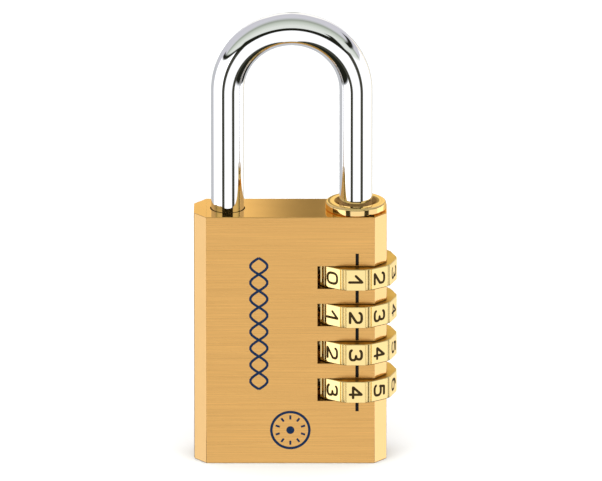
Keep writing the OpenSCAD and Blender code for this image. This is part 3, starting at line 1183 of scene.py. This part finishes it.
class PADLOCK_OT_studio(bpy.types.Operator):
    """Sets the pale floor, the soft light and the camera"""

    bl_idname = "padlock.studio"
    bl_label = "Studio"

    def execute(self, context):
        settings = context.scene.padlock_studio
        context.scene.view_settings.view_transform = "Standard"
        self.floor(settings)
        self.surround(context)
        self.lamps(context)
        self.backdrop()
        self.camera(context, settings)
        return {"FINISHED"}

    def floor(self, settings):
        shape = bmesh.new()
        bmesh.ops.create_circle(shape, cap_ends=True, segments=128, radius=settings.floor_radius)
        held = hold("floor", mesh_of("floor", shape))
        clearance = 0.00005
        held.location.z = CAD_BOX[0].z - clearance
        finish = Finish("floor paint")
        grain = finish.noise(finish.place, (40, 40, 40), detail=2)
        held.data.materials.append(finish.done({
            "Base Color": finish.blend(grain, shade(settings.floor, 0.99), shade(settings.floor, 1.01)),
            "Roughness": 0.9,
            "Specular IOR Level": 0.1,
        }))
        held.visible_glossy = False

    def surround(self, context):
        """Plain white to the camera; polished metal sees cards, dark gaps and a grey ceiling instead."""
        world = bpy.data.worlds.new("studio")
        context.scene.world = world
        world.use_nodes = True
        tree = Tree(world.node_tree)
        way = tree.node("ShaderNodeTexCoord", output="Generated")
        x, y, z = (tree.node("ShaderNodeSeparateXYZ", {}, {"Vector": way}, output=axis) for axis in "XYZ")
        azimuth = x.math("ARCTAN2", x, 0 - y) * math.degrees(1)
        elevation = z.math("ARCSINE", z) * math.degrees(1)
        overhead = z.math("ARCTAN2", z, 0 - y) * (1 / math.pi)
        tone = tree.node("ShaderNodeValToRGB", {"stops": CEILING}, {"Fac": overhead})
        for left, right, bottom, top, soft, tint in CARDS:
            mask = tree.between(azimuth, left, right, soft) * tree.between(elevation, bottom, top, soft)
            tone = tree.blend(mask, tone, (*tint, 1))
        seen = tree.node("ShaderNodeLightPath", output="Is Camera Ray")
        tone = tree.blend(seen, tone, (1, 1, 1, 1))
        back = tree.node("ShaderNodeBackground", {}, {"Color": tone, "Strength": 1.0})
        tree.node("ShaderNodeOutputWorld", {}, {"Surface": back})

    def lamps(self, context):
        """Soft boxes that light the floor and the paint, unseen in the polished metal."""
        for name, place, size, power in (
            ("overhead", (0, -0.15, 1.1), 1.2, 11.0),
            ("front left", (-0.9, -0.9, 0.8), 0.8, 5.0),
            ("front right", (0.9, -0.8, 0.8), 0.8, 4.0),
        ):
            lamp = bpy.data.lights.new(name, "AREA")
            lamp.shape, lamp.size, lamp.energy = "DISK", size, power
            held = bpy.data.objects.new(name, lamp)
            context.collection.objects.link(held)
            held.location = place
            held.rotation_euler = (-Vector(place)).to_track_quat("-Z", "Y").to_euler()
            held.visible_glossy = False
            held.visible_camera = False

    def backdrop(self):
        """A dim card behind the lock, which only polished metal sees: it shades the right of the top face."""
        finish = Finish("dim card")
        across = finish.node("ShaderNodeSeparateXYZ", {}, {"Vector": finish.place}, output="X")
        rise, fall = (
            finish.node("ShaderNodeMapRange", {"interpolation_type": "SMOOTHSTEP"}, {
                "Value": across, "From Min": start, "From Max": end,
            })
            for start, end in ((-0.011, 0.009), (0.006, 0.01))
        )
        material = finish.done({
            "Base Color": (0, 0, 0, 1), "Specular IOR Level": 0.0, "Alpha": rise - fall,
            "Emission Color": (0.36, 0.355, 0.33, 1), "Emission Strength": 1.0,
        })
        held = hold("dim card", mesh_of("dim card", box_shape((-0.014, 0.15, 0.075), (0.05, 0.151, 0.135))))
        held.data.materials.append(material)
        held.visible_camera = False
        held.visible_diffuse = False
        held.visible_shadow = False

    def camera(self, context, settings):
        camera = bpy.data.cameras.new("camera")
        camera.lens, camera.clip_start, camera.clip_end = settings.lens, 0.1, 100
        held = bpy.data.objects.new("camera", camera)
        context.collection.objects.link(held)
        back = Vector((0, -math.cos(settings.elevation), math.sin(settings.elevation)))
        held.location = Vector(settings.aim) + back * settings.distance
        held.rotation_euler = (-back).to_track_quat("-Z", "Y").to_euler()
        context.scene.camera = held


# --------------------------------------------------------------------------------------------------
# Sidebar and registration
# --------------------------------------------------------------------------------------------------

OPERATORS = (
    PADLOCK_OT_body, PADLOCK_OT_index_line, PADLOCK_OT_dials, PADLOCK_OT_shackle, PADLOCK_OT_collar,
    PADLOCK_OT_springs, PADLOCK_OT_fittings, PADLOCK_OT_studio,
)
SETTINGS = {
    "padlock_body": BodySettings,
    "padlock_dials": DialSettings,
    "padlock_shackle": ShackleSettings,
    "padlock_collar": CollarSettings,
    "padlock_springs": SpringSettings,
    "padlock_print": PrintSettings,
    "padlock_studio": StudioSettings,
}


class PADLOCK_PT_sidebar(bpy.types.Panel):
    """Lists the steps in the order that they are run"""

    bl_idname = "PADLOCK_PT_sidebar"
    bl_label = "Padlock"
    bl_space_type = "VIEW_3D"
    bl_region_type = "UI"
    bl_category = "Padlock"

    def draw(self, context):
        for operator in OPERATORS:
            self.layout.operator(operator.bl_idname)


def register():
    for group in SETTINGS.values():
        bpy.utils.register_class(group)
    for name, group in SETTINGS.items():
        setattr(bpy.types.Scene, name, PointerProperty(type=group))
    for item in (*OPERATORS, PADLOCK_PT_sidebar):
        bpy.utils.register_class(item)


def unregister():
    for item in (PADLOCK_PT_sidebar, *reversed(OPERATORS)):
        bpy.utils.unregister_class(item)
    for name in SETTINGS:
        delattr(bpy.types.Scene, name)
    for group in reversed(list(SETTINGS.values())):
        bpy.utils.unregister_class(group)


def main():
    register()
    bpy.ops.padlock.body()
    bpy.ops.padlock.index_line()
    bpy.ops.padlock.dials()
    bpy.ops.padlock.shackle()
    bpy.ops.padlock.collar()
    bpy.ops.padlock.springs()
    bpy.ops.padlock.fittings()
    bpy.ops.padlock.studio()


if __name__ == "__main__":
    main()
